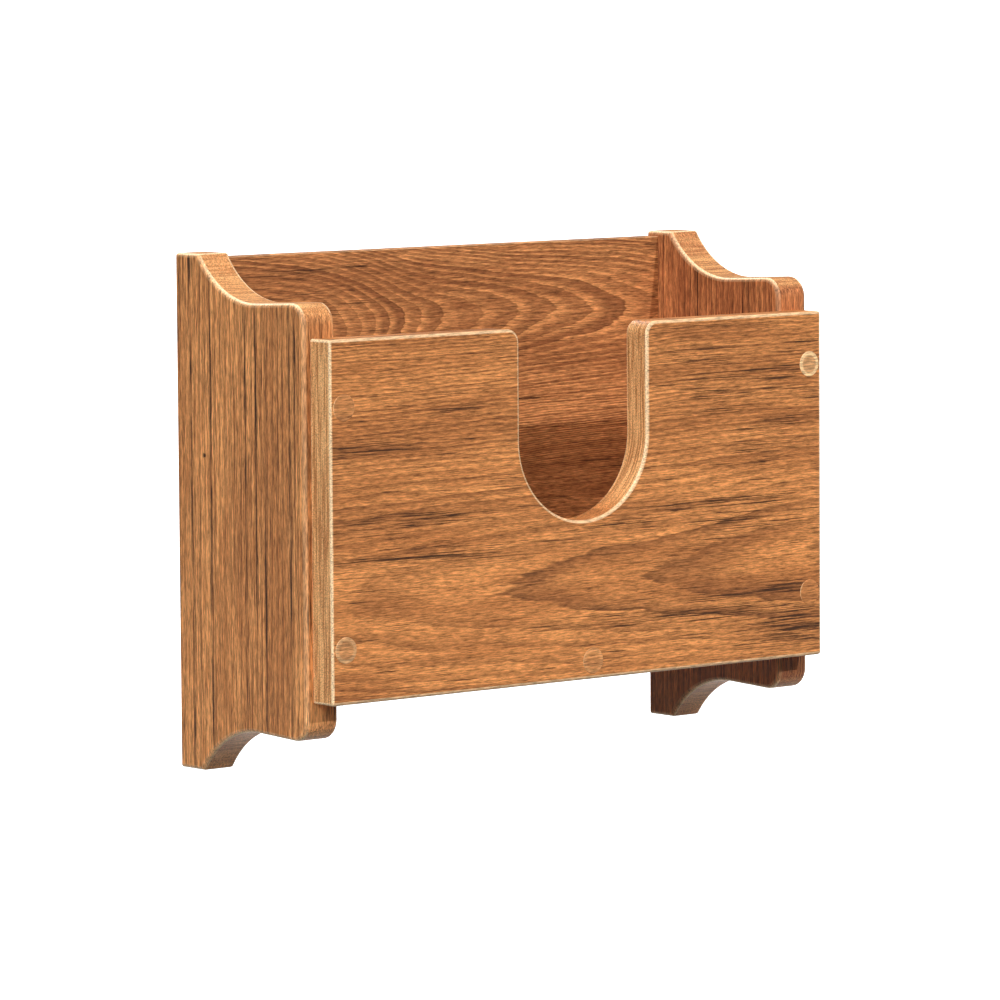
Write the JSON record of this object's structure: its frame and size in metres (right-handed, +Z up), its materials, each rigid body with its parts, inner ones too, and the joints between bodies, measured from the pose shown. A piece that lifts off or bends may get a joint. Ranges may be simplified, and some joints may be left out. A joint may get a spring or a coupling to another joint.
{
  "type": "wall magazine rack",
  "caption": "Wall-hung teak rack with an open-topped pocket for magazines, shaped side boards and a round-bottomed hand notch in its front panel.",
  "frame": {"origin": "on the wall plane, at the middle of the rack's width and the middle of the side boards' height; it lies on the back panel's rear face", "axes": "+X to the right as seen from the room, +Y into the wall, so the front faces -Y, and +Z up"},
  "size_m": [0.32, 0.1132, 0.248],
  "materials": {
    "side_boards": "satin, oiled teak",
    "front_panel": "satin, oiled teak",
    "back_panel": "satin, oiled teak",
    "shelf": "satin, oiled teak",
    "plugs": "satin, oiled teak",
    "screws": "stainless, plain"
  },
  "bodies": {
    "root": {"side_board_left": "side_boards", "side_board_right": "side_boards", "back_panel": "back_panel", "front_panel": "front_panel", "bottom_shelf": "shelf", "plug_upper_left": "plugs", "plug_upper_right": "plugs", "plug_lower_left": "plugs", "plug_lower_right": "plugs", "plug_shelf": "plugs", "screw_upper_left": "screws", "screw_upper_right": "screws", "screw_lower_left": "screws", "screw_lower_right": "screws", "screw_shelf": "screws", "screw_back_left": "screws", "screw_back_right": "screws"}
  },
  "joints": []
}
